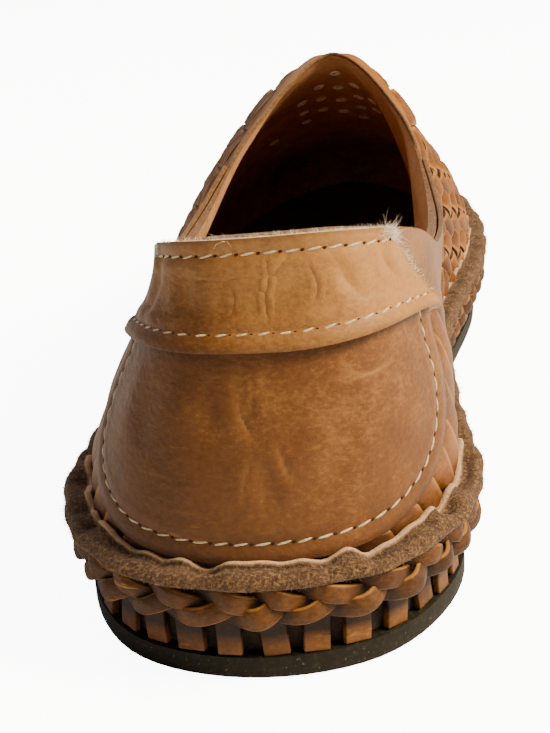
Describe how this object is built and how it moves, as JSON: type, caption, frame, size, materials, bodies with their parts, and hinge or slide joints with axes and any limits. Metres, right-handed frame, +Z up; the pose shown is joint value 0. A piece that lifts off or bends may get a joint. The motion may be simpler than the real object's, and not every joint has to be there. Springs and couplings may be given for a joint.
{
  "type": "woven leather flat",
  "caption": "Slip-on woven leather flat for the left foot with a smooth stitched heel counter and collar band, a suede rand and a braided, thong-laced sole.",
  "frame": {"origin": "on the floor, under the middle of the shoe's bounding box", "axes": "+Z up, +Y from heel to toe, +X towards the big-toe side of this left shoe"},
  "size_m": [0.096, 0.2792, 0.0867],
  "materials": {
    "rubber": "matt, dusty",
    "board": "dark, matt",
    "sock": "dark, worn",
    "strips": "vegetable tanned, satin",
    "counter": "vegetable tanned, satin, creased",
    "collar": "vegetable tanned, satin, raw edges",
    "suede": "napped, fuzzy",
    "thong": "russet, satin"
  },
  "bodies": {
    "root": {"outsole": "rubber", "midsole": "board", "insole": "sock", "upper": "strips", "heel_counter": "counter", "collar_band": "collar", "suede_rand": "suede", "braided_lacing": "thong"}
  },
  "joints": []
}
